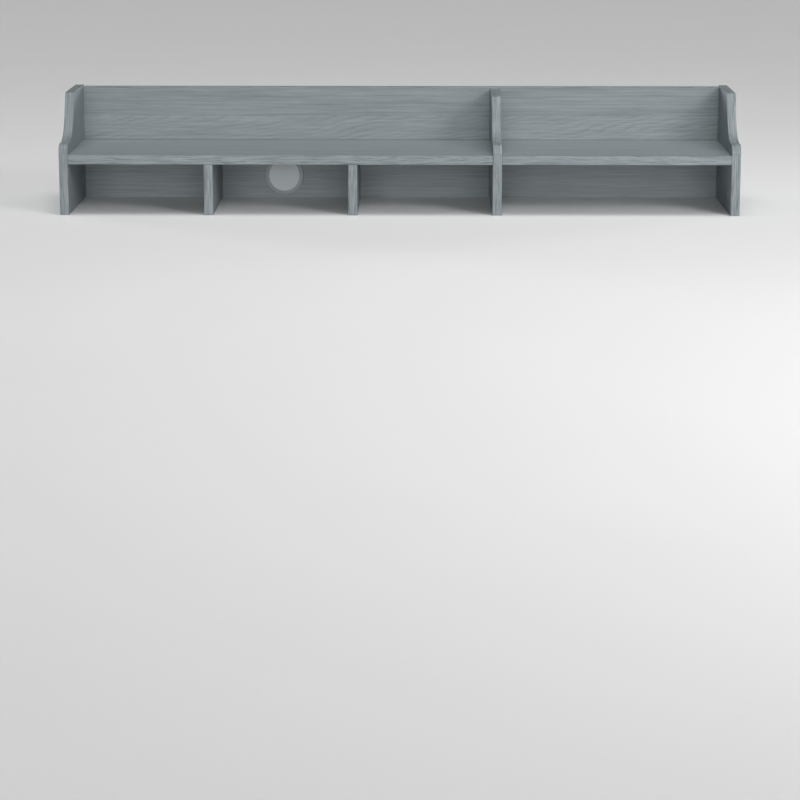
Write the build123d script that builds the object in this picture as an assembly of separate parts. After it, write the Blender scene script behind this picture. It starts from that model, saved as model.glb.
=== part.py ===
"""Desk hutch: profiled ends and centre divider, full-width back, two shelves and three cubbies.

Millimetres. +X is to the right, the open front faces -Y and +Z is up. The origin is the middle of
the footprint, on the desktop that the hutch stands on. Every physical piece is its own solid.
"""

import os
from math import cos, radians, sin

from build123d import *

# Overall size
WIDTH = 1190.0
DEPTH = 240.0
END_HEIGHT = 204.0
BACK_HEIGHT = 202.0
CENTRE_HEIGHT = 198.0

# Boards and their edge banding
BOARD = 16.0
BAND = 2.0
ARRIS_RADIUS = 1.4

# Shelves and dividers
SHELF_TOP = 105.0
SHELF_SETBACK = 1.0
CENTRE_X = 171.0
CUBBY_COUNT = 3

# Shaped front of the ends and the centre divider
LEDGE_HEIGHT = 124.5
SHOULDER_RADIUS = 17.0
COVE_START = 27.0
COVE_RADIUS = 64.0
COVE_SWEEP = 65.0
CORNER_RADIUS = 9.0

# Cam locks, and the bolts that they pull on
CAM_DIAMETER = 15.0
CAM_HEIGHT = 12.5
CAM_REACH = 34.0
CAM_CLEARANCE = 0.1
CAM_SLOT_WIDTH = 8.4
CAM_SLOT_FLOOR = 3.6
CAM_SLOT_BACK = 4.0
CAM_CROSS = (9.0, 1.8, 2.2)
BOLT_CHANNEL = 8.0
BOLT_SHANK = 7.0
BOLT_SHANK_LENGTH = 24.0
BOLT_NECK = 4.5
BOLT_HEAD_START = 31.2
BOLT_HEAD_LENGTH = 3.4
BOLT_THREAD = 5.0
BOLT_THREAD_LENGTH = 11.0

# Wood dowels
DOWEL_DIAMETER = 8.0
DOWEL_CHAMFER = 1.0
DOWEL_IN_EDGE = 20.0
DOWEL_IN_FACE = 10.0
THROUGH_DOWEL_REACH = 17.0
DOWEL_CLEARANCE = 0.05

# Countersunk screws through the back panel
SCREW_HEAD = 10.0
SCREW_HEAD_HEIGHT = 3.0
SCREW_SHANK = 7.0
SCREW_THREAD = 5.0
SCREW_LENGTH = 50.0
SCREW_TIP = 4.0
SCREW_CROSS = (5.4, 1.3, 2.4)
SCREW_CLEARANCE = 0.1

# Where the fixings sit
SHELF_BOLT_Y = (-75.0, 60.0)
SHELF_DOWEL_Y = (-43.0, 28.0)
BACK_BOLT_Z = (40.0, 165.0)
BACK_DOWEL_Z = (72.0, 133.0)
DESK_BOLT_Y = (-75.0, 75.0)
CENTRE_SCREW_Z = (62.0, 165.0)
CUBBY_SCREW_Z = 45.0
CUBBY_DOWEL_Y = (-60.0, 45.0)
LONG_SHELF_SCREW_X = (-460.0, -208.0, 45.0)
SHORT_SHELF_SCREW_X = (279.0, 479.0)

# Cable grommet
GROMMET_X = -213.0
GROMMET_Z = 40.0
GROMMET_HOLE = 60.0
FLANGE_DIAMETER = 70.0
FLANGE_THICKNESS = 2.0
FLANGE_ROUND = 1.2
BARREL_DIAMETER = 59.8
BARREL_LENGTH = 14.0
SLEEVE_BORE = 54.0
SEAT_DIAMETER = 57.4
SEAT_DEPTH = 0.8
FLEX_SLITS = 4
FLEX_SLIT = (2.0, 6.0)
LID_DIAMETER = 57.0
LID_THICKNESS = 1.8
LID_ROUND = 1.0
SKIRT_DIAMETER = 53.8
SKIRT_BORE = 50.6
SKIRT_LENGTH = 10.0
LIP_BORE = 49.4
LIP_THICKNESS = 0.8
SHUTTER_DIAMETER = 50.4
SHUTTER_THICKNESS = 2.0
SHUTTER_GAP = 0.1
LIP_GAP = 0.2
OUTLET_HALF_WIDTH = 12.2
OUTLET_FLOOR = 17.0
OUTLET_LOBE_RADIUS = 5.0
OUTLET_EASE = 0.5

# Planes that the sizes above fix
FRONT = -DEPTH / 2
REAR = DEPTH / 2
INNER_X = WIDTH / 2 - BOARD
BACK_FACE = REAR - BOARD
BACK_MID = REAR - BOARD / 2
SHOULDER_START = LEDGE_HEIGHT - SHOULDER_RADIUS
SHELF_BOTTOM = SHELF_TOP - BOARD
SHELF_MID = SHELF_TOP - BOARD / 2
CENTRE_LEFT = CENTRE_X - BOARD / 2
CENTRE_RIGHT = CENTRE_X + BOARD / 2
CUBBY_WIDTH = (CENTRE_LEFT + INNER_X - (CUBBY_COUNT - 1) * BOARD) / CUBBY_COUNT
CUBBY_DIVIDER_X = [
    -INNER_X + (i + 1) * CUBBY_WIDTH + (i + 0.5) * BOARD for i in range(CUBBY_COUNT - 1)
]
END_MID = WIDTH / 2 - BOARD / 2
FLANGE_FRONT = BACK_FACE - FLANGE_THICKNESS
LID_BACK = FLANGE_FRONT + SEAT_DEPTH
LID_FRONT = LID_BACK - LID_THICKNESS
MARGIN = 1.0
NEAR = 0.01


# Plain shapes


def block(low, high):
    """Box between two corners."""
    size = [b - a for a, b in zip(low, high)]
    return Pos(*low) * Box(*size, align=Align.MIN)


def rod(start, direction, diameter, length):
    """Cylinder that runs from a point along a direction."""
    shape = Cylinder(diameter / 2, length, align=(Align.CENTER, Align.CENTER, Align.MIN))
    return Plane(origin=start, z_dir=direction) * shape


def cross(size):
    """Cross recess, cut down from the local XY plane along +Z."""
    length, width, depth = size
    align = (Align.CENTER, Align.CENTER, Align.MIN)
    return Box(length, width, depth, align=align) + Box(width, length, depth, align=align)


def joined(shapes):
    """Several separate solids as one node."""
    return Compound(children=[solid for shape in shapes for solid in shape.solids()])


# Fixings


def cam_lock(face, opening, inward):
    """Cam with its slotted face at a point, sunk along inward, and open towards its bolt."""
    body = Cylinder(CAM_DIAMETER / 2, CAM_HEIGHT, align=(Align.CENTER, Align.CENTER, Align.MIN))
    slot = block(
        (-CAM_SLOT_BACK, -CAM_SLOT_WIDTH / 2, CAM_SLOT_FLOOR),
        (CAM_DIAMETER, CAM_SLOT_WIDTH / 2, CAM_HEIGHT + MARGIN),
    )
    return Plane(origin=face, x_dir=opening, z_dir=inward) * (body - slot - cross(CAM_CROSS))


def cam_pocket(face, inward):
    return rod(face, inward, CAM_DIAMETER + 2 * CAM_CLEARANCE, CAM_HEIGHT)


def bolt_tip(face, direction):
    """The part of a cam bolt that stands out of a board: shank, neck and head."""
    x, y, z = face
    dx, dy, dz = direction

    def along(distance):
        return (x + dx * distance, y + dy * distance, z + dz * distance)

    shank = rod(face, direction, BOLT_SHANK, BOLT_SHANK_LENGTH)
    neck = rod(face, direction, BOLT_NECK, BOLT_HEAD_START)
    head = rod(along(BOLT_HEAD_START), direction, BOLT_SHANK, BOLT_HEAD_LENGTH)
    return shank + neck + head


def cam_bolt(face, direction):
    """Cam bolt screwed into a board's face, standing out along a direction."""
    back = tuple(-part for part in direction)
    return bolt_tip(face, direction) + rod(face, back, BOLT_THREAD, BOLT_THREAD_LENGTH)


def dowel(start, direction, length):
    """Fluteless dowel with chamfered ends."""
    pin = Cylinder(DOWEL_DIAMETER / 2, length, align=(Align.CENTER, Align.CENTER, Align.MIN))
    pin = chamfer(pin.edges().filter_by(GeomType.CIRCLE), DOWEL_CHAMFER)
    return Plane(origin=start, z_dir=direction) * pin


def dowel_hole(start, direction, length):
    return rod(start, direction, DOWEL_DIAMETER + 2 * DOWEL_CLEARANCE, length)


def pilot_hole(start, direction, length):
    return rod(start, direction, SCREW_THREAD + 2 * SCREW_CLEARANCE, length)


def screw(x, z):
    """Countersunk screw through the back panel, flush with its rear face."""
    low = (Align.CENTER, Align.CENTER, Align.MIN)
    head = Cone(SCREW_HEAD / 2, SCREW_SHANK / 2, SCREW_HEAD_HEIGHT, align=low)
    shank = Cylinder(SCREW_SHANK / 2, BOARD, align=low)
    thread = Cylinder(SCREW_THREAD / 2, SCREW_LENGTH - SCREW_TIP, align=low)
    tip = Pos(0, 0, SCREW_LENGTH - SCREW_TIP) * Cone(SCREW_THREAD / 2, 0, SCREW_TIP, align=low)
    shape = head + shank + thread + tip - cross(SCREW_CROSS)
    return Plane(origin=(x, REAR, z), z_dir=(0, -1, 0)) * shape


def screw_clearance(x, z):
    """Countersunk hole for one of those screws."""
    low = (Align.CENTER, Align.CENTER, Align.MIN)
    head = Cone(
        SCREW_HEAD / 2 + SCREW_CLEARANCE,
        SCREW_SHANK / 2 + SCREW_CLEARANCE,
        SCREW_HEAD_HEIGHT,
        align=low,
    )
    shank = Cylinder(SCREW_SHANK / 2 + SCREW_CLEARANCE, BOARD + MARGIN, align=low)
    return Plane(origin=(x, REAR, z), z_dir=(0, -1, 0)) * (head + shank)


def screw_pilot(x, z):
    """Pilot hole in the rear edge of the board that a back screw holds."""
    return pilot_hole((x, BACK_FACE, z), (0, -1, 0), SCREW_LENGTH - BOARD)


def back_screw_places():
    """X and Z of every screw through the back panel."""
    centre = [(CENTRE_X, z) for z in CENTRE_SCREW_Z]
    cubbies = [(x, CUBBY_SCREW_Z) for x in CUBBY_DIVIDER_X]
    shelves = [(x, SHELF_MID) for x in LONG_SHELF_SCREW_X + SHORT_SHELF_SCREW_X]
    return centre + cubbies + shelves


# Ends and centre divider


def shaped_face(height, skin, rear):
    """Side view of a shaped board, with its front and top edges set in by skin."""
    sweep = radians(COVE_SWEEP)
    rise_in_arcs = (COVE_RADIUS + CORNER_RADIUS) * (1 - cos(sweep))
    slope_length = (height - LEDGE_HEIGHT - rise_in_arcs) / sin(sweep)
    with BuildSketch(Plane.YZ) as face:
        with BuildLine():
            front = Line((FRONT + skin, 0), (FRONT + skin, SHOULDER_START))
            shoulder = JernArc(front @ 1, (0, 1), SHOULDER_RADIUS - skin, -90)
            ledge = Line(shoulder @ 1, (FRONT + COVE_START, LEDGE_HEIGHT - skin))
            cove = JernArc(ledge @ 1, (1, 0), COVE_RADIUS + skin, COVE_SWEEP)
            slope = PolarLine(cove @ 1, slope_length, COVE_SWEEP)
            corner = JernArc(slope @ 1, slope % 1, CORNER_RADIUS - skin, -COVE_SWEEP)
            Polyline(corner @ 1, (rear, height - skin), (rear, 0), front @ 0)
        make_face()
    return face.sketch


def shaped_board(height, skin, rear, left):
    """Shaped board whose left face is at X = left."""
    return Pos(left, 0, 0) * extrude(shaped_face(height, skin, rear), BOARD, dir=(1, 0, 0))


def shaped_bands(height, rear, left):
    """Both bands of a shaped board: one up its straight front, one over its profile and top."""
    full = shaped_board(height, 0, rear, left)
    sides = full.faces().filter_by(Axis.X).edges()
    outer = [e for e in sides if e.center().Z > MARGIN and e.center().Y < rear - MARGIN]
    band = fillet(outer, ARRIS_RADIUS) - shaped_board(height, BAND, rear, left)
    straight_zone = block((left, FRONT, 0), (left + BOARD, FRONT + BAND, SHOULDER_START))
    return band & straight_zone, band - straight_zone


def end_left_face(side):
    """Left face of the left (-1) or right (+1) end."""
    return -WIDTH / 2 if side < 0 else INNER_X


def desk_fixing_holes(face_x, mid_x, inward):
    """Cam pockets in a board's face, with bolt channels up to them from its bottom edge."""
    pockets = [cam_pocket((face_x, y, CAM_REACH), inward) for y in DESK_BOLT_Y]
    channels = [rod((mid_x, y, 0), (0, 0, 1), BOLT_CHANNEL, CAM_REACH) for y in DESK_BOLT_Y]
    return pockets + channels


def end_panel(side):
    board = shaped_board(END_HEIGHT, BAND, REAR - BAND, end_left_face(side))
    inner = side * INNER_X
    outward = (side, 0, 0)
    bolts = [(inner, y, SHELF_MID) for y in SHELF_BOLT_Y]
    bolts += [(inner, BACK_MID, z) for z in BACK_BOLT_Z]
    dowels = [(inner, y, SHELF_MID) for y in SHELF_DOWEL_Y]
    dowels += [(inner, BACK_MID, z) for z in BACK_DOWEL_Z]
    holes = [pilot_hole(place, outward, BOLT_THREAD_LENGTH) for place in bolts]
    holes += [dowel_hole(place, outward, DOWEL_IN_FACE) for place in dowels]
    return board - holes - desk_fixing_holes(inner, side * END_MID, outward)


def end_rear_band(side):
    """Banding on the rear edge of an end, below the band that runs over its top."""
    left = end_left_face(side)
    full = block((left, REAR - BAND, 0), (left + BOARD, REAR, END_HEIGHT - BAND))
    outer = full.edges().filter_by(Axis.Z).group_by(Axis.Y)[-1]
    return fillet(outer, ARRIS_RADIUS)


def centre_divider():
    board = shaped_board(CENTRE_HEIGHT, BAND, BACK_FACE, CENTRE_LEFT)
    through = [(CENTRE_LEFT, y, SHELF_MID) for y in SHELF_BOLT_Y]
    dowels = [(CENTRE_LEFT, y, SHELF_MID) for y in SHELF_DOWEL_Y]
    holes = [rod(place, (1, 0, 0), BOLT_CHANNEL, BOARD) for place in through]
    holes += [dowel_hole(place, (1, 0, 0), BOARD) for place in dowels]
    holes += [screw_pilot(CENTRE_X, z) for z in CENTRE_SCREW_Z]
    return board - holes - desk_fixing_holes(CENTRE_RIGHT, CENTRE_X, (-1, 0, 0))


# Back panel


def back_panel():
    board = block((-INNER_X, BACK_FACE, 0), (INNER_X, REAR, BACK_HEIGHT - BAND))
    holes = [screw_clearance(x, z) for x, z in back_screw_places()]
    for side in (-1, 1):
        inward = (-side, 0, 0)
        edge = side * INNER_X
        for z in BACK_BOLT_Z:
            holes.append(cam_pocket((edge - side * CAM_REACH, REAR, z), (0, -1, 0)))
            holes.append(rod((edge, BACK_MID, z), inward, BOLT_CHANNEL, CAM_REACH))
        holes += [dowel_hole((edge, BACK_MID, z), inward, DOWEL_IN_EDGE) for z in BACK_DOWEL_Z]
    holes.append(rod((GROMMET_X, BACK_FACE, GROMMET_Z), (0, 1, 0), GROMMET_HOLE, BOARD))
    return board - holes


def back_panel_top_band():
    full = block((-INNER_X, BACK_FACE, BACK_HEIGHT - BAND), (INNER_X, REAR, BACK_HEIGHT))
    outer = full.edges().filter_by(Axis.X).group_by(Axis.Z)[-1]
    return fillet(outer, ARRIS_RADIUS)


# Shelves and cubby dividers


def shelf(left, right, centre_end, screw_x, dowel_x):
    """Shelf between two X planes. centre_end is the side (-1 or +1) at the centre divider."""
    board = block((left, FRONT + SHELF_SETBACK + BAND, SHELF_BOTTOM), (right, BACK_FACE, SHELF_TOP))
    holes = [screw_pilot(x, SHELF_MID) for x in screw_x]
    for side, edge in ((-1, left), (1, right)):
        inward = (-side, 0, 0)
        reach = THROUGH_DOWEL_REACH if side == centre_end else DOWEL_IN_EDGE
        for y in SHELF_BOLT_Y:
            holes.append(cam_pocket((edge - side * CAM_REACH, y, SHELF_BOTTOM), (0, 0, 1)))
            holes.append(rod((edge, y, SHELF_MID), inward, BOLT_CHANNEL, CAM_REACH))
        holes += [dowel_hole((edge, y, SHELF_MID), inward, reach) for y in SHELF_DOWEL_Y]
    for x in dowel_x:
        places = [(x, y, SHELF_BOTTOM) for y in CUBBY_DOWEL_Y]
        holes += [dowel_hole(place, (0, 0, 1), DOWEL_IN_FACE) for place in places]
    return board - holes


def shelf_band(left, right):
    front = FRONT + SHELF_SETBACK
    full = block((left, front, SHELF_BOTTOM), (right, front + BAND, SHELF_TOP))
    outer = full.edges().filter_by(Axis.X).group_by(Axis.Y)[0]
    return fillet(outer, ARRIS_RADIUS)


def cubby_divider(x):
    low = (x - BOARD / 2, FRONT + SHELF_SETBACK + BAND, 0)
    board = block(low, (x + BOARD / 2, BACK_FACE, SHELF_BOTTOM))
    tops = [(x, y, SHELF_BOTTOM) for y in CUBBY_DOWEL_Y]
    holes = [dowel_hole(place, (0, 0, -1), DOWEL_IN_EDGE) for place in tops]
    return board - holes - screw_pilot(x, CUBBY_SCREW_Z)


def cubby_divider_band(x):
    front = FRONT + SHELF_SETBACK
    full = block((x - BOARD / 2, front, 0), (x + BOARD / 2, front + BAND, SHELF_BOTTOM))
    outer = full.edges().filter_by(Axis.Z).group_by(Axis.Y)[0]
    return fillet(outer, ARRIS_RADIUS)


# Fixings in their places


def shelf_cam_locks():
    """Cams in the underside of both shelves, one pair at each end."""
    edges = ((-INNER_X, -1), (CENTRE_LEFT, 1), (CENTRE_RIGHT, -1), (INNER_X, 1))
    return joined(
        cam_lock((edge - side * CAM_REACH, y, SHELF_BOTTOM), (side, 0, 0), (0, 0, 1))
        for edge, side in edges
        for y in SHELF_BOLT_Y
    )


def back_panel_cam_locks():
    """Cams in the rear face of the back panel."""
    return joined(
        cam_lock((side * (INNER_X - CAM_REACH), REAR, z), (side, 0, 0), (0, -1, 0))
        for side in (-1, 1)
        for z in BACK_BOLT_Z
    )


def desk_cam_locks():
    """Cams in the ends and the centre divider that pull on bolts standing out of the desktop."""
    boards = ((-INNER_X, -1), (INNER_X, 1), (CENTRE_RIGHT, -1))
    return joined(
        cam_lock((face, y, CAM_REACH), (0, 0, -1), (inward, 0, 0))
        for face, inward in boards
        for y in DESK_BOLT_Y
    )


def shelf_cam_bolts():
    return joined(
        cam_bolt((side * INNER_X, y, SHELF_MID), (-side, 0, 0))
        for side in (-1, 1)
        for y in SHELF_BOLT_Y
    )


def back_panel_cam_bolts():
    return joined(
        cam_bolt((side * INNER_X, BACK_MID, z), (-side, 0, 0))
        for side in (-1, 1)
        for z in BACK_BOLT_Z
    )


def centre_through_bolts():
    """Double-ended bolts that tie both shelves together through the centre divider."""
    return joined(
        bolt_tip((CENTRE_LEFT, y, SHELF_MID), (-1, 0, 0))
        + rod((CENTRE_LEFT, y, SHELF_MID), (1, 0, 0), BOLT_SHANK, BOARD)
        + bolt_tip((CENTRE_RIGHT, y, SHELF_MID), (1, 0, 0))
        for y in SHELF_BOLT_Y
    )


def end_dowels(places):
    """Dowels between the ends and whatever meets their inner faces."""
    length = DOWEL_IN_FACE + DOWEL_IN_EDGE
    return joined(
        dowel((side * (INNER_X + DOWEL_IN_FACE), y, z), (-side, 0, 0), length)
        for side in (-1, 1)
        for y, z in places
    )


def centre_through_dowels():
    start = CENTRE_LEFT - THROUGH_DOWEL_REACH
    length = BOARD + 2 * THROUGH_DOWEL_REACH
    return joined(dowel((start, y, SHELF_MID), (1, 0, 0), length) for y in SHELF_DOWEL_Y)


def cubby_divider_dowels():
    top = SHELF_BOTTOM + DOWEL_IN_FACE
    length = DOWEL_IN_FACE + DOWEL_IN_EDGE
    return joined(
        dowel((x, y, top), (0, 0, -1), length) for x in CUBBY_DIVIDER_X for y in CUBBY_DOWEL_Y
    )


# Cable grommet


def grommet_rod(y, diameter, length):
    """Cylinder on the grommet's axis, from Y = y towards the rear."""
    return rod((GROMMET_X, y, GROMMET_Z), (0, 1, 0), diameter, length)


def front_rim(shape, diameter, y):
    """The circle of a given diameter that lies in the plane Y = y."""
    circles = shape.edges().filter_by(GeomType.CIRCLE).filter_by_position(Axis.Y, y - NEAR, y + NEAR)
    return [edge for edge in circles if abs(edge.radius - diameter / 2) < NEAR]


def cable_outlet(ease):
    """Cutter for the lid's outlet: open to the rim, with a lobe either side of a low tab."""
    deep = LID_THICKNESS + SKIRT_LENGTH + 2 * MARGIN
    front = LID_FRONT - MARGIN
    half = OUTLET_HALF_WIDTH + ease
    floor = GROMMET_Z + OUTLET_FLOOR
    low = (GROMMET_X - half, front, floor - ease)
    high = (GROMMET_X + half, front + deep, GROMMET_Z + FLANGE_DIAMETER / 2)
    cutter = block(low, high)
    lobe = 2 * (OUTLET_LOBE_RADIUS + ease)
    for side in (-1, 1):
        x = GROMMET_X + side * (OUTLET_HALF_WIDTH - OUTLET_LOBE_RADIUS)
        cutter += rod((x, front, floor), (0, 1, 0), lobe, deep)
    return cutter


def grommet_sleeve():
    flange = grommet_rod(FLANGE_FRONT, FLANGE_DIAMETER, FLANGE_THICKNESS)
    flange = fillet(front_rim(flange, FLANGE_DIAMETER, FLANGE_FRONT), FLANGE_ROUND)
    barrel = grommet_rod(BACK_FACE, BARREL_DIAMETER, BARREL_LENGTH)
    bore = grommet_rod(FLANGE_FRONT, SLEEVE_BORE, FLANGE_THICKNESS + BARREL_LENGTH)
    seat = grommet_rod(FLANGE_FRONT, SEAT_DIAMETER, SEAT_DEPTH)
    slit_width, slit_length = FLEX_SLIT
    slit = block(
        (-slit_width / 2, BACK_FACE + BARREL_LENGTH - slit_length, 0),
        (slit_width / 2, BACK_FACE + BARREL_LENGTH + MARGIN, FLANGE_DIAMETER / 2),
    )
    turns = [(i + 0.5) * 360 / FLEX_SLITS for i in range(FLEX_SLITS)]
    slits = [Pos(GROMMET_X, 0, GROMMET_Z) * Rot(0, turn, 0) * slit for turn in turns]
    return flange + barrel - bore - seat - slits


def grommet_lid():
    disc = grommet_rod(LID_FRONT, LID_DIAMETER, LID_THICKNESS)
    disc = fillet(front_rim(disc, LID_DIAMETER, LID_FRONT), LID_ROUND)
    lip_start = LID_BACK + SHUTTER_GAP + SHUTTER_THICKNESS + LIP_GAP
    skirt = grommet_rod(LID_BACK, SKIRT_DIAMETER, SKIRT_LENGTH)
    skirt -= grommet_rod(LID_BACK, SKIRT_BORE, SKIRT_LENGTH)
    lip = grommet_rod(lip_start, SKIRT_DIAMETER, LIP_THICKNESS)
    lip -= grommet_rod(lip_start, LIP_BORE, LIP_THICKNESS)
    return disc + skirt + lip - cable_outlet(0)


def grommet_shutter():
    """Disc held behind the lid by the lip in its skirt. Turned half round, it opens the outlet."""
    centre = Pos(GROMMET_X, 0, GROMMET_Z)
    notch = centre * Rot(0, 180, 0) * centre.inverse() * cable_outlet(OUTLET_EASE)
    return grommet_rod(LID_BACK + SHUTTER_GAP, SHUTTER_DIAMETER, SHUTTER_THICKNESS) - notch


def pieces():
    """Every node of the hutch, by name."""
    long_shelf_ends = (-INNER_X, CENTRE_LEFT)
    short_shelf_ends = (CENTRE_RIGHT, INNER_X)
    nodes = {
        "centre_divider": centre_divider(),
        "back_panel": back_panel(),
        "back_panel_top_edge_band": back_panel_top_band(),
        "long_shelf": shelf(*long_shelf_ends, 1, LONG_SHELF_SCREW_X, CUBBY_DIVIDER_X),
        "long_shelf_edge_band": shelf_band(*long_shelf_ends),
        "short_shelf": shelf(*short_shelf_ends, -1, SHORT_SHELF_SCREW_X, ()),
        "short_shelf_edge_band": shelf_band(*short_shelf_ends),
        "shelf_cam_locks": shelf_cam_locks(),
        "back_panel_cam_locks": back_panel_cam_locks(),
        "desk_cam_locks": desk_cam_locks(),
        "shelf_cam_bolts": shelf_cam_bolts(),
        "back_panel_cam_bolts": back_panel_cam_bolts(),
        "centre_through_bolts": centre_through_bolts(),
        "shelf_dowels": end_dowels([(y, SHELF_MID) for y in SHELF_DOWEL_Y]),
        "back_panel_dowels": end_dowels([(BACK_MID, z) for z in BACK_DOWEL_Z]),
        "centre_through_dowels": centre_through_dowels(),
        "cubby_divider_dowels": cubby_divider_dowels(),
        "back_panel_screws": joined(screw(x, z) for x, z in back_screw_places()),
        "grommet_sleeve": grommet_sleeve(),
        "grommet_lid": grommet_lid(),
        "grommet_shutter": grommet_shutter(),
    }
    for name, side in (("left", -1), ("right", 1)):
        nodes[f"{name}_end_panel"] = end_panel(side)
        nodes[f"{name}_end_rear_edge_band"] = end_rear_band(side)
    shaped = {
        "left_end": (END_HEIGHT, REAR, end_left_face(-1)),
        "right_end": (END_HEIGHT, REAR, end_left_face(1)),
        "centre_divider": (CENTRE_HEIGHT, BACK_FACE, CENTRE_LEFT),
    }
    for name, place in shaped.items():
        straight, profiled = shaped_bands(*place)
        nodes[f"{name}_front_edge_band"] = straight
        nodes[f"{name}_profile_edge_band"] = profiled
    for name, x in zip(("left", "right"), CUBBY_DIVIDER_X):
        nodes[f"{name}_cubby_divider"] = cubby_divider(x)
        nodes[f"{name}_cubby_divider_edge_band"] = cubby_divider_band(x)
    return nodes


os.makedirs("parts", exist_ok=True)
for node, shape in pieces().items():
    export_step(shape, f"parts/{node}.step")
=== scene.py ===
"""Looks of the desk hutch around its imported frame: woodgrain boards, banded edges, fittings, light."""

from math import cos, hypot, pi, radians, sin

import bpy
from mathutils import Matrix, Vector


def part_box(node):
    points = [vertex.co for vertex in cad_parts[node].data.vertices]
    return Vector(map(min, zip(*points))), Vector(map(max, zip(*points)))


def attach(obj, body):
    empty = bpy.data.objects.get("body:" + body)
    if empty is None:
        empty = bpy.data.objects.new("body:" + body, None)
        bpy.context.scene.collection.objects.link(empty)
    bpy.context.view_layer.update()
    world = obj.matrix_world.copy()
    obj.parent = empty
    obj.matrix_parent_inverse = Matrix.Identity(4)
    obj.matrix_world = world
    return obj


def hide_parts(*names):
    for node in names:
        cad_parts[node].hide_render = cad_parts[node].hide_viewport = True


MM = 0.001
X, Y, Z = 0, 1, 2
BUMP_STRENGTH = 0.7

# Boards and banding
BOARD = 16 * MM
BAND = 2 * MM
BAND_ROUND = 1.4 * MM
BAND_END_CHAMFER = 0.35 * MM
ROUND_STEPS = 6
RUN_START = 2.0
RUN_SHIFT = 3

# Shaped front of the ends and the centre divider
LEDGE_HEIGHT = 124.5 * MM
SHOULDER_RADIUS = 17 * MM
SHOULDER_START = LEDGE_HEIGHT - SHOULDER_RADIUS
COVE_START = 27 * MM
COVE_RADIUS = 64 * MM
COVE_SWEEP = radians(65)
CORNER_RADIUS = 9 * MM
CURVE_STEP = 1.2 * MM

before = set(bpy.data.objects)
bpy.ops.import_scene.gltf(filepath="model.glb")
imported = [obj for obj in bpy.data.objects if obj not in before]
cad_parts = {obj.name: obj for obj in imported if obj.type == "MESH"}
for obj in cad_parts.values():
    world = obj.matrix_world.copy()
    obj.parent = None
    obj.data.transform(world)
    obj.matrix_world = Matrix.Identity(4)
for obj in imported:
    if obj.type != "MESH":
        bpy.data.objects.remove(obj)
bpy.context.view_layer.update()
scene = bpy.context.scene


# Node trees


class Tree:
    """A material's node tree, with short calls for the nodes that the materials use."""

    def __init__(self, name):
        self.material = bpy.data.materials.new(name)
        self.material.use_nodes = True
        self.nodes = self.material.node_tree.nodes
        self.links = self.material.node_tree.links
        self.shader = self.nodes["Principled BSDF"]

    def put(self, socket, value):
        if isinstance(value, bpy.types.NodeSocket):
            self.links.new(value, socket)
        else:
            socket.default_value = value

    def add(self, kind, inputs=(), **settings):
        node = self.nodes.new(kind)
        for key, value in settings.items():
            setattr(node, key, value)
        for key, value in dict(inputs).items():
            self.put(node.inputs[key], value)
        return node

    def math(self, operation, *values, clamp=False):
        node = self.add("ShaderNodeMath", operation=operation, use_clamp=clamp)
        for socket, value in zip(node.inputs, values):
            self.put(socket, value)
        return node.outputs[0]

    def weigh(self, base, *terms):
        """base plus each weight times how far its 0 to 1 value is above the middle."""
        total = base - sum(weight for weight, value in terms) / 2
        for weight, value in terms:
            total = self.math("MULTIPLY_ADD", value, weight, total)
        return total

    def span(self, value, low, high, to_low=0.0, to_high=1.0):
        """Maps low..high smoothly to to_low..to_high, and holds it there outside."""
        node = self.add("ShaderNodeMapRange", interpolation_type="SMOOTHSTEP")
        for key, number in enumerate((value, low, high, to_low, to_high)):
            self.put(node.inputs[key], number)
        return node.outputs[0]

    def noise(self, vector, scale=1.0, detail=2.0, roughness=0.5):
        node = self.add("ShaderNodeTexNoise")
        self.put(node.inputs["Vector"], vector)
        node.inputs["Scale"].default_value = scale
        node.inputs["Detail"].default_value = detail
        node.inputs["Roughness"].default_value = roughness
        return node.outputs["Fac"]

    def streaks(self, place, along, across, seed, detail=2.0):
        """Noise in streaks of a size in metres. place is (u, v, layer), with u along them."""
        u, v, layer = place
        vector = {
            0: self.math("DIVIDE", u, along),
            1: self.math("DIVIDE", v, across),
            2: self.math("ADD", layer, seed),
        }
        return self.noise(self.add("ShaderNodeCombineXYZ", vector).outputs[0], detail=detail)

    def mix(self, factor, first, second):
        node = self.add("ShaderNodeMix", data_type="RGBA")
        self.put(node.inputs["Factor"], factor)
        self.put(node.inputs[6], first)
        self.put(node.inputs[7], second)
        return node.outputs[2]

    def finish(self, colour, roughness, height, distance, gloss=0.5):
        """Sends colour, roughness and relief to the shader."""
        self.put(self.shader.inputs["Base Color"], colour)
        self.put(self.shader.inputs["Roughness"], roughness)
        self.shader.inputs["Specular IOR Level"].default_value = gloss
        bump = self.add("ShaderNodeBump", {"Height": height})
        bump.inputs["Distance"].default_value = distance
        bump.inputs["Strength"].default_value = BUMP_STRENGTH
        self.links.new(bump.outputs[0], self.shader.inputs["Normal"])
        return self.material

    def object_place(self):
        return self.add("ShaderNodeTexCoord").outputs["Object"]

    def object_axes(self):
        """The object's own X, Y and Z, in metres."""
        return self.add("ShaderNodeSeparateXYZ", {0: self.object_place()}).outputs


def linear(red, green, blue):
    """sRGB bytes as a linear colour."""
    channels = [c / 255 for c in (red, green, blue)]
    return [c / 12.92 if c < 0.04045 else ((c + 0.055) / 1.055) ** 2.4 for c in channels] + [1.0]


def shaded(colour, amount):
    return [c * amount for c in colour[:3]] + [1.0]


# Wood decor. Grain marks are sized in metres, (along the grain, across it), and every layer of
# marks has its own seed offset, so that no two repeat each other.

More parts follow.
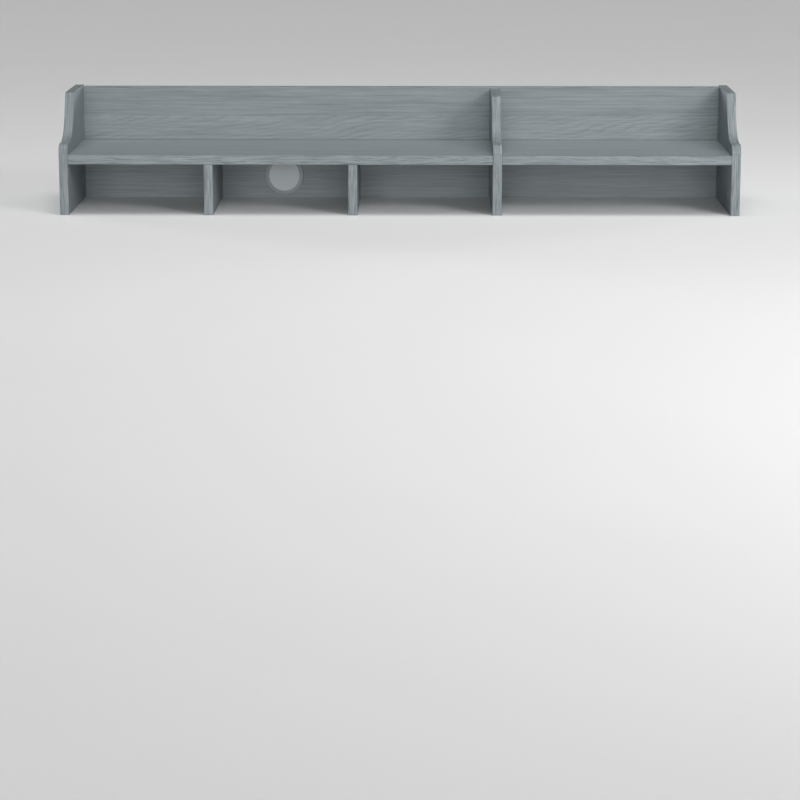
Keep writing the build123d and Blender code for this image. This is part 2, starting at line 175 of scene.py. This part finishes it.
BOARD_BROAD = (0.45, 0.017)
BOARD_STREAK = (0.11, 0.0026)
BOARD_FIBRE = (0.035, 0.0008)
BAND_BROAD = (0.30, 0.009)
BAND_STREAK = (0.060, 0.0018)
BAND_FIBRE = (0.022, 0.0007)
BAND_WANDER = (0.070, 0.014)
BAND_PATCH = (0.040, 0.005)
BAND_LINE_PERIOD = 3.6 * MM
PORE = (0.014, 0.00042)
FIGURE_WANDER = (0.25, 0.050)
FIGURE_RIPPLE = (0.060, 0.008)
FIGURE_PATCH = (0.13, 0.020)
# Widths of the painted shade lines at the back panel's joints
JOINT_SHADE_CORE = 0.8 * MM
JOINT_SHADE_FADE = 1.7 * MM
CHIPS_PER_METRE = 620
BOARD_GLOSS = 0.3
BOARD_RELIEF = 0.12 * MM
BAND_RELIEF = 0.10 * MM

BOARD_LIGHT = linear(152, 160, 163)
BOARD_DARK = linear(112, 121, 125)
BAND_LIGHT = linear(158, 166, 169)
BAND_DARK = linear(104, 113, 117)
CORE_LIGHT = linear(196, 166, 122)
CORE_DARK = linear(126, 96, 62)

SHELF_TOP = 105 * MM
BACK_HALF = 579 * MM
BACK_MIDDLE = 112 * MM
CENTRE_LEFT = 163 * MM
CENTRE_RIGHT = 179 * MM

PLANK_JOINT = 150 * MM
FIGURE_SLOPE = radians(11)
FIGURE_TIP = 3 * MM
FIGURE_PERIOD = 8 * MM
FIGURE_FOOT = (86 * MM, 112 * MM)
FIGURE_CUT = 0.4 * MM


def pore_marks(tree, place, seed):
    """Short embossed dashes along the grain."""
    return tree.span(tree.streaks(place, *PORE, seed, detail=1.0), 0.60, 0.70)


def cathedral(tree, place, seed):
    """Flat-sawn figure below the plank joint: nested arches whose tips point along the grain."""
    u, v, layer = place
    wander = tree.streaks(place, *FIGURE_WANDER, seed)
    ripple = tree.streaks(place, *FIGURE_RIPPLE, seed + 4)
    off = tree.math("SUBTRACT", v, PLANK_JOINT)
    reach = tree.math("SQRT", tree.math("MULTIPLY_ADD", off, off, FIGURE_TIP**2))
    rise = tree.math("MULTIPLY", reach, cos(FIGURE_SLOPE))
    climb = tree.math("MULTIPLY_ADD", u, sin(FIGURE_SLOPE), rise)
    bent = tree.weigh(0, (0.034, wander), (0.004, ripple))
    turns = tree.math("FRACT", tree.math("DIVIDE", tree.math("ADD", climb, bent), FIGURE_PERIOD))
    line = tree.math("SUBTRACT", tree.span(turns, 0.40, 0.86), tree.span(turns, 0.88, 1.0))
    strength = tree.span(tree.streaks(place, *FIGURE_PATCH, seed + 9), 0.36, 0.66, 0.25, 1.0)
    foot, full = FIGURE_FOOT
    strength = tree.math("MULTIPLY", strength, tree.span(v, foot, full))
    above, below = PLANK_JOINT + FIGURE_CUT, PLANK_JOINT - FIGURE_CUT
    strength = tree.math("MULTIPLY", strength, tree.span(v, above, below))
    return tree.math("MULTIPLY", line, strength)


def painted_joint_shade(tree, axes):
    """Painted shade: fine dark lines on the back panel's front face, where the other boards butt against
    it, standing in for the contact shadow in those joints.
    """
    x, y, z = axes
    places = [(x, -BACK_HALF), (x, BACK_HALF), (x, CENTRE_LEFT), (x, CENTRE_RIGHT), (z, SHELF_TOP)]
    nearest = 1.0
    for axis, place in places:
        off = tree.math("ABSOLUTE", tree.math("SUBTRACT", axis, place))
        nearest = tree.math("MINIMUM", off, nearest)
    line = tree.span(nearest, JOINT_SHADE_FADE, JOINT_SHADE_CORE)
    return tree.math("MULTIPLY", line, tree.math("LESS_THAN", y, BACK_MIDDLE))


def chipboard(tree):
    """Raw core, as at unbanded edges and inside drilled holes."""
    chips = tree.add("ShaderNodeTexVoronoi", {"Vector": tree.object_place()})
    chips.inputs["Scale"].default_value = CHIPS_PER_METRE
    shade = tree.add("ShaderNodeSeparateColor", {0: chips.outputs["Color"]}).outputs[0]
    return tree.mix(shade, CORE_DARK, CORE_LIGHT)


def melamine(name, along, across, thick, seed, tone=0.5, planked=False):
    """Faced board. The axes are indices into XYZ. Faces square to thick are decor, the rest core."""
    tree = Tree(name)
    axes = tree.object_axes()
    u, v = axes[along], axes[across]
    layer = tree.math("ROUND", tree.math("DIVIDE", axes[thick], BOARD))
    if planked:
        upper = tree.math("GREATER_THAN", v, PLANK_JOINT)
        layer = tree.math("MULTIPLY_ADD", upper, 0.5, layer)
    place = (u, v, layer)
    broad = tree.streaks(place, *BOARD_BROAD, seed)
    streak = tree.streaks(place, *BOARD_STREAK, seed + 11, detail=3.0)
    fibre = tree.streaks(place, *BOARD_FIBRE, seed + 23)
    pores = pore_marks(tree, place, seed + 37)
    level = tree.weigh(tone, (0.70, broad), (1.25, streak), (0.60, fibre))
    level = tree.math("MULTIPLY_ADD", pores, -0.16, level)
    if planked:
        level = tree.math("MULTIPLY_ADD", upper, -0.19, level)
        level = tree.math("MULTIPLY_ADD", cathedral(tree, place, seed), -0.27, level)
        joint = tree.math("ABSOLUTE", tree.math("SUBTRACT", v, PLANK_JOINT))
        level = tree.math("MULTIPLY_ADD", tree.span(joint, 0.7 * MM, 0.2 * MM), -0.22, level)
        # Painted shade along the back panel's joints with the shelf, the ends and the centre divider
        level = tree.math("MULTIPLY_ADD", painted_joint_shade(tree, axes), -0.85, level)
    colour = tree.mix(tree.math("MAXIMUM", level, 0.0), BOARD_DARK, BOARD_LIGHT)
    normal = tree.add("ShaderNodeTexCoord").outputs["Normal"]
    facing = tree.add("ShaderNodeSeparateXYZ", {0: normal}).outputs[thick]
    faced = tree.span(tree.math("ABSOLUTE", facing), 0.55, 0.65)
    colour = tree.mix(faced, chipboard(tree), colour)
    roughness = tree.weigh(0.52, (0.10, streak), (0.12, pores))
    relief = tree.math("MULTIPLY_ADD", pores, -0.8, fibre)
    return tree.finish(colour, roughness, relief, BOARD_RELIEF, gloss=BOARD_GLOSS)


def banding(name, seed, tone=0.5):
    """Printed edge banding. Its grain follows the band, by a UV map in metres."""
    tree = Tree(name)
    run = tree.add("ShaderNodeSeparateXYZ", {0: tree.add("ShaderNodeUVMap").outputs[0]}).outputs
    place = (run[0], run[1], 0.0)
    broad = tree.streaks(place, *BAND_BROAD, seed)
    streak = tree.streaks(place, *BAND_STREAK, seed + 11, detail=3.0)
    fibre = tree.streaks(place, *BAND_FIBRE, seed + 23)
    pores = pore_marks(tree, place, seed + 37)
    wander = tree.streaks(place, *BAND_WANDER, seed + 5)
    turns = tree.math("MULTIPLY_ADD", wander, 0.014, run[1])
    turns = tree.math("FRACT", tree.math("DIVIDE", turns, BAND_LINE_PERIOD))
    line = tree.math("SUBTRACT", tree.span(turns, 0.20, 0.70), tree.span(turns, 0.80, 1.0))
    strength = tree.span(tree.streaks(place, *BAND_PATCH, seed + 9), 0.40, 0.64)
    level = tree.weigh(tone, (0.60, broad), (1.35, streak), (0.45, fibre))
    level = tree.math("MULTIPLY_ADD", tree.math("MULTIPLY", line, strength), -0.50, level)
    level = tree.math("MULTIPLY_ADD", pores, -0.18, level)
    colour = tree.mix(tree.math("MAXIMUM", level, 0.0), BAND_DARK, BAND_LIGHT)
    roughness = tree.weigh(0.50, (0.12, streak), (0.12, pores))
    relief = tree.math("MULTIPLY_ADD", pores, -0.8, fibre)
    return tree.finish(colour, roughness, relief, BAND_RELIEF, gloss=BOARD_GLOSS)


# Metal, dowels and moulded plastic


def metal(name, colour, rough, grain, distance):
    """Zinc: a mottled metal whose roughness and relief vary by grain, in metres."""
    tree = Tree(name)
    place = tree.object_place()
    mottle = tree.noise(place, scale=1 / grain, detail=4.0, roughness=0.6)
    cloudy = tree.noise(place, scale=0.2 / grain)
    tree.shader.inputs["Metallic"].default_value = 1.0
    shade = tree.mix(mottle, shaded(colour, 0.78), colour)
    return tree.finish(shade, tree.weigh(rough, (0.30, cloudy)), mottle, distance)


def beech(name):
    """Straight-grained turned dowel, with short dark flecks."""
    tree = Tree(name)
    x, y, z = tree.object_axes()
    grain = tree.streaks((x, y, z), 0.015, 0.0007, 2.0, detail=3.0)
    fleck = tree.span(tree.streaks((x, z, y), 0.004, 0.0004, 6.0), 0.62, 0.70)
    level = tree.math("MULTIPLY_ADD", fleck, -0.35, grain)
    colour = tree.mix(tree.math("MAXIMUM", level, 0.0), linear(170, 130, 88), linear(226, 194, 152))
    return tree.finish(colour, tree.weigh(0.58, (0.2, grain)), grain, 0.10 * MM)


def moulded(name, colour, seed):
    """Spark-textured plastic with a faint flow of tone from the mould."""
    tree = Tree(name)
    place = tree.object_place()
    spark = tree.noise(place, scale=2600, roughness=0.6)
    flow = tree.noise(place, scale=38 + seed, detail=3.0)
    level = tree.weigh(0.6, (0.5, flow), (0.35, spark))
    shade = tree.mix(level, shaded(colour, 0.86), colour)
    return tree.finish(shade, tree.weigh(0.44, (0.20, spark)), spark, 0.04 * MM)


# Banding, swept round the boards' edges


def piece(name, vertices, faces, uvs, material, body, nodes):
    """A new mesh that rides on a body and stands for CAD nodes."""
    mesh = bpy.data.meshes.new(name)
    mesh.from_pydata([tuple(v) for v in vertices], [], faces)
    mesh.validate()
    layer = mesh.uv_layers.new(name="run")
    for loop, uv in zip(layer.data, (uv for face in uvs for uv in face)):
        loop.uv = uv
    mesh.shade_smooth()
    mesh.set_sharp_from_angle(angle=radians(32))
    mesh.materials.append(material)
    obj = bpy.data.objects.new(name, mesh)
    scene.collection.objects.link(obj)
    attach(obj, body)
    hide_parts(*nodes)
    return obj


def arc(centre, radius, start, sweep):
    """Points and outward directions round an arc, in a plane."""
    count = max(2, round(abs(radius * sweep) / CURVE_STEP))
    angles = [start + sweep * i / count for i in range(count + 1)]
    outward = [(cos(a), sin(a)) for a in angles]
    return [((centre[0] + radius * y, centre[1] + radius * z), (y, z)) for y, z in outward]


def profile(front, rear, height):
    """Outline of a shaped board from its shoulder to its top: (y, z) points and outward directions."""
    shoulder = (front + SHOULDER_RADIUS, SHOULDER_START)
    run = arc(shoulder, SHOULDER_RADIUS, pi, -pi / 2)
    cove = (front + COVE_START, LEDGE_HEIGHT + COVE_RADIUS)
    run += [(p, (-n[0], -n[1])) for p, n in arc(cove, COVE_RADIUS, -pi / 2, COVE_SWEEP)]
    arcs_rise = (COVE_RADIUS + CORNER_RADIUS) * (1 - cos(COVE_SWEEP))
    slope = (height - LEDGE_HEIGHT - arcs_rise) / sin(COVE_SWEEP)
    (y, z), normal = run[-1]
    y, z = y + slope * cos(COVE_SWEEP), z + slope * sin(COVE_SWEEP)
    corner = (y - CORNER_RADIUS * normal[0], z - CORNER_RADIUS * normal[1])
    run += arc(corner, CORNER_RADIUS, pi / 2 + COVE_SWEEP, -COVE_SWEEP)
    run.append(((rear, height), (0.0, 1.0)))
    return run


def band_section(width, inset=0.0):
    """(across, out) points round a band's section, inner corner to inner corner, arrises rounded."""
    half = width / 2 - inset
    left = [(-half, -BAND)]
    for i in range(ROUND_STEPS + 1):
        a = pi / 2 * i / ROUND_STEPS
        left.append((-half + BAND_ROUND * (1 - cos(a)), -inset - BAND_ROUND * (1 - sin(a))))
    return left + [(-across, out) for across, out in reversed(left)]


def chamfered(path):
    """The path as (point, outward, inset) rings, with a small chamfer at both ends."""
    rings = [(Vector(point), Vector(out), 0.0) for point, out in path]
    for end, beside in ((0, 1), (-1, -2)):
        point, out, inset = rings[end]
        inward = (rings[beside][0] - point).normalized()
        near = (point + inward * BAND_END_CHAMFER, out, 0.0)
        rings[end] = (point, out, BAND_END_CHAMFER)
        rings.insert(1 if end == 0 else len(rings) - 1, near)
    return rings


def ribbon(name, path, across_axis, width, material, node):
    """Edge banding swept along path: (point, outward direction) pairs in the row frame."""
    rings = chamfered(path)
    section = band_section(width)
    spread = [0.0]
    for (a, b), (c, d) in zip(section, section[1:]):
        spread.append(spread[-1] + hypot(c - a, d - b))
    across_axis = Vector(across_axis)
    vertices = []
    lengths = [RUN_START + rings[0][0].x * RUN_SHIFT]
    for i, (point, out, inset) in enumerate(rings):
        if i:
            lengths.append(lengths[-1] + (point - rings[i - 1][0]).length)
        vertices += [point + across_axis * a + out * o for a, o in band_section(width, inset)]
    count, faces, uvs = len(section), [], []
    for i in range(len(rings) - 1):
        for j in range(count):
            k = (j + 1) % count
            faces.append([i * count + j, i * count + k, (i + 1) * count + k, (i + 1) * count + j])
            v0, v1 = spread[j], spread[k] if k else spread[j] + width
            uvs.append([(lengths[i], v0), (lengths[i], v1), (lengths[i + 1], v1), (lengths[i + 1], v0)])
    for ring, order in ((0, range(count - 1, -1, -1)), (len(rings) - 1, range(count))):
        faces.append([ring * count + j for j in order])
        uvs.append([(lengths[ring] + section[j][1], spread[j]) for j in order])
    return piece(name, vertices, faces, uvs, material, "hutch", [node])


def profile_ribbon(node, material):
    low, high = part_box(node)
    middle = (low.x + high.x) / 2
    path = [((middle, y, z), (0, ny, nz)) for (y, z), (ny, nz) in profile(low.y, high.y, high.z)]
    name = node.replace("_edge_band", "_banding")
    return ribbon(name, path, (-1, 0, 0), high.x - low.x, material, node)


def straight_ribbon(node, along, out, material):
    """Banding for one straight edge. along is the run's axis and out the way it faces, as a vector."""
    low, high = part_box(node)
    across = 3 - along - max(range(3), key=lambda i: abs(out[i]))
    middle = (low + high) / 2
    face = [high[i] if out[i] > 0 else low[i] for i in range(3)]
    start = Vector([face[i] if out[i] else middle[i] for i in range(3)])
    end = start.copy()
    start[along], end[along] = low[along], high[along]
    side = Vector((0, 0, 0))
    side[across] = 1
    if (end - start).cross(side).dot(Vector(out)) > 0:
        side = -side
    path = [(start, out), (end, out)]
    width = high[across] - low[across]
    return ribbon(node.replace("_edge_band", "_banding"), path, side, width, material, node)


FRONTWARD, REARWARD, UPWARD = (0, -1, 0), (0, 1, 0), (0, 0, 1)
tall_band = banding("banding_tall", 4.0)
long_band = banding("banding_long", 61.0)
for board in ("left_end", "right_end", "centre_divider"):
    straight_ribbon(f"{board}_front_edge_band", Z, FRONTWARD, tall_band)
    profile_ribbon(f"{board}_profile_edge_band", tall_band)
for side in ("left", "right"):
    straight_ribbon(f"{side}_cubby_divider_edge_band", Z, FRONTWARD, tall_band)
    straight_ribbon(f"{side}_end_rear_edge_band", Z, REARWARD, tall_band)
straight_ribbon("long_shelf_edge_band", X, FRONTWARD, long_band)
straight_ribbon("short_shelf_edge_band", X, FRONTWARD, long_band)
straight_ribbon("back_panel_top_edge_band", X, UPWARD, long_band)


# Finishes of the pieces that keep their CAD shape


zinc_cast = metal("zinc_cast", linear(176, 176, 172), 0.38, 0.0011, 0.06 * MM)
zinc_bright = metal("zinc_bright", linear(200, 201, 198), 0.26, 0.0007, 0.03 * MM)
beech_wood = beech("beech")
lid_plastic = moulded("lid_plastic", linear(210, 217, 220), 1)
ring_plastic = moulded("ring_plastic", linear(155, 163, 166), 5)

# The boards share one decor. Their tones differ board by board to match how bright each board looks
# under these lights, so the differences between them are painted light and shade on top of the decor's
# own tone.
LOOKS = {
    "back_panel": melamine("decor_back", X, Z, Y, 1.0, tone=0.74, planked=True),
    "long_shelf": melamine("decor_long_shelf", X, Y, Z, 20.0, tone=0.70),
    "short_shelf": melamine("decor_short_shelf", X, Y, Z, 33.0, tone=0.70),
    "left_end_panel": melamine("decor_left_end", Z, Y, X, 45.0, tone=0.46),
    "right_end_panel": melamine("decor_right_end", Z, Y, X, 52.0, tone=0.38),
    "centre_divider": melamine("decor_centre", Z, Y, X, 71.0, tone=0.42),
    "left_cubby_divider": melamine("decor_left_cubby", Z, Y, X, 83.0, tone=0.38),
    "right_cubby_divider": melamine("decor_right_cubby", Z, Y, X, 97.0, tone=0.38),
    "shelf_cam_locks": zinc_cast,
    "back_panel_cam_locks": zinc_cast,
    "desk_cam_locks": zinc_cast,
    "shelf_cam_bolts": zinc_bright,
    "back_panel_cam_bolts": zinc_bright,
    "centre_through_bolts": zinc_bright,
    "back_panel_screws": zinc_bright,
    "shelf_dowels": beech_wood,
    "back_panel_dowels": beech_wood,
    "centre_through_dowels": beech_wood,
    "cubby_divider_dowels": beech_wood,
    "grommet_sleeve": ring_plastic,
    "grommet_lid": lid_plastic,
    "grommet_shutter": lid_plastic,
}
for node, material in LOOKS.items():
    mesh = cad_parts[node].data
    mesh.materials.clear()
    mesh.materials.append(material)

# Edge rounding in metres, for cast, turned and moulded pieces
ROUNDED = {
    "shelf_cam_locks": 0.35 * MM,
    "back_panel_cam_locks": 0.35 * MM,
    "desk_cam_locks": 0.35 * MM,
    "back_panel_screws": 0.20 * MM,
    "grommet_sleeve": 0.25 * MM,
    "grommet_lid": 0.30 * MM,
    "grommet_shutter": 0.25 * MM,
}
for node, radius in ROUNDED.items():
    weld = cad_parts[node].modifiers.new("weld", "WELD")
    weld.merge_threshold = 0.01 * MM
    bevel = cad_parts[node].modifiers.new("rounding", "BEVEL")
    bevel.width = radius
    bevel.segments = 3
    bevel.limit_method = "ANGLE"
    bevel.angle_limit = radians(35)


# Floor, light and camera. Angles are in degrees here, and places in metres.

FLOOR_HALF = 30.0
AIM_HEIGHT = 0.1
SUN_DISTANCE = 5.0
CAMERA_PLACE = (0.048, -4.598, 0.687)
CAMERA_DOWN = 12.81
CAMERA_LEFT = 0.60
CAMERA_LENS = 116.1
CAMERA_SENSOR = 36
CAMERA_REACH = 100


def pale_floor():
    tree = Tree("pale_floor")
    tone = tree.noise(tree.object_place(), scale=3.0, detail=3.0)
    shade = tree.mix(tone, (0.90, 0.90, 0.90, 1), (0.92, 0.92, 0.92, 1))
    tree.put(tree.shader.inputs["Base Color"], shade)
    tree.shader.inputs["Roughness"].default_value = 0.8
    tree.shader.inputs["Specular IOR Level"].default_value = 0.2
    half = FLOOR_HALF
    corners = [(-half, -half, 0), (half, -half, 0), (half, half, 0), (-half, half, 0)]
    mesh = bpy.data.meshes.new("floor")
    mesh.from_pydata(corners, [], [(0, 1, 2, 3)])
    mesh.materials.append(tree.material)
    floor = bpy.data.objects.new("floor", mesh)
    scene.collection.objects.link(floor)


def shine(name, light, azimuth, elevation, distance):
    """Aims a light at the hutch. Azimuth 0 is the front, 90 the right."""
    lamp = bpy.data.objects.new(name, light)
    a, e = radians(azimuth), radians(elevation)
    aim = Vector((0, 0, AIM_HEIGHT))
    lamp.location = aim + distance * Vector((sin(a) * cos(e), -cos(a) * cos(e), sin(e)))
    lamp.rotation_euler = (aim - lamp.location).to_track_quat("-Z", "Y").to_euler()
    scene.collection.objects.link(lamp)


def wide_light(name, azimuth, elevation, angle, level):
    """Distant soft light. A level of 1 lights a facing surface as a white sky would."""
    light = bpy.data.lights.new(name, "SUN")
    light.angle = radians(angle)
    light.energy = pi * level
    shine(name, light, azimuth, elevation, SUN_DISTANCE)


def softbox(name, azimuth, elevation, distance, size, power):
    light = bpy.data.lights.new(name, "AREA")
    light.shape = "RECTANGLE"
    light.size, light.size_y = size
    light.energy = power
    shine(name, light, azimuth, elevation, distance)


def bright_horizon():
    """Pale walls far off: bright at and below eye level, and dim overhead."""
    world = bpy.data.worlds.new("studio")
    world.use_nodes = True
    nodes, links = world.node_tree.nodes, world.node_tree.links
    direction = nodes.new("ShaderNodeTexCoord")
    parts = nodes.new("ShaderNodeSeparateXYZ")
    level = nodes.new("ShaderNodeMapRange")
    level.interpolation_type = "SMOOTHSTEP"
    for key, value in zip(("From Min", "From Max", "To Min", "To Max"), (0.03, 0.15, 0.80, 0.04)):
        level.inputs[key].default_value = value
    sky = nodes["Background"]
    sky.inputs["Color"].default_value = (1, 1, 1, 1)
    links.new(direction.outputs["Generated"], parts.inputs[0])
    links.new(parts.outputs[2], level.inputs[0])
    links.new(level.outputs[0], sky.inputs["Strength"])
    scene.world = world


pale_floor()
bright_horizon()
wide_light("front", 0, 5, 34, 0.455)
wide_light("high_front", 10, 60, 40, 0.10)
wide_light("top", 0, 84, 40, 0.26)
wide_light("rear_left", 235, 4, 16, 0.55)
wide_light("rear_right", 125, 4, 16, 0.46)
softbox("right", 42, 24, 3.2, (1.2, 1.0), 34)
softbox("overhead", 0, 84, 2.2, (2.6, 0.5), 11)
scene.view_settings.view_transform = "Standard"

camera_data = bpy.data.cameras.new("camera")
camera_data.lens = CAMERA_LENS
camera_data.sensor_width = CAMERA_SENSOR
camera_data.clip_end = CAMERA_REACH
camera = bpy.data.objects.new("camera", camera_data)
camera.location = CAMERA_PLACE
camera.rotation_euler = (radians(90 - CAMERA_DOWN), 0, radians(CAMERA_LEFT))
scene.collection.objects.link(camera)
scene.camera = camera
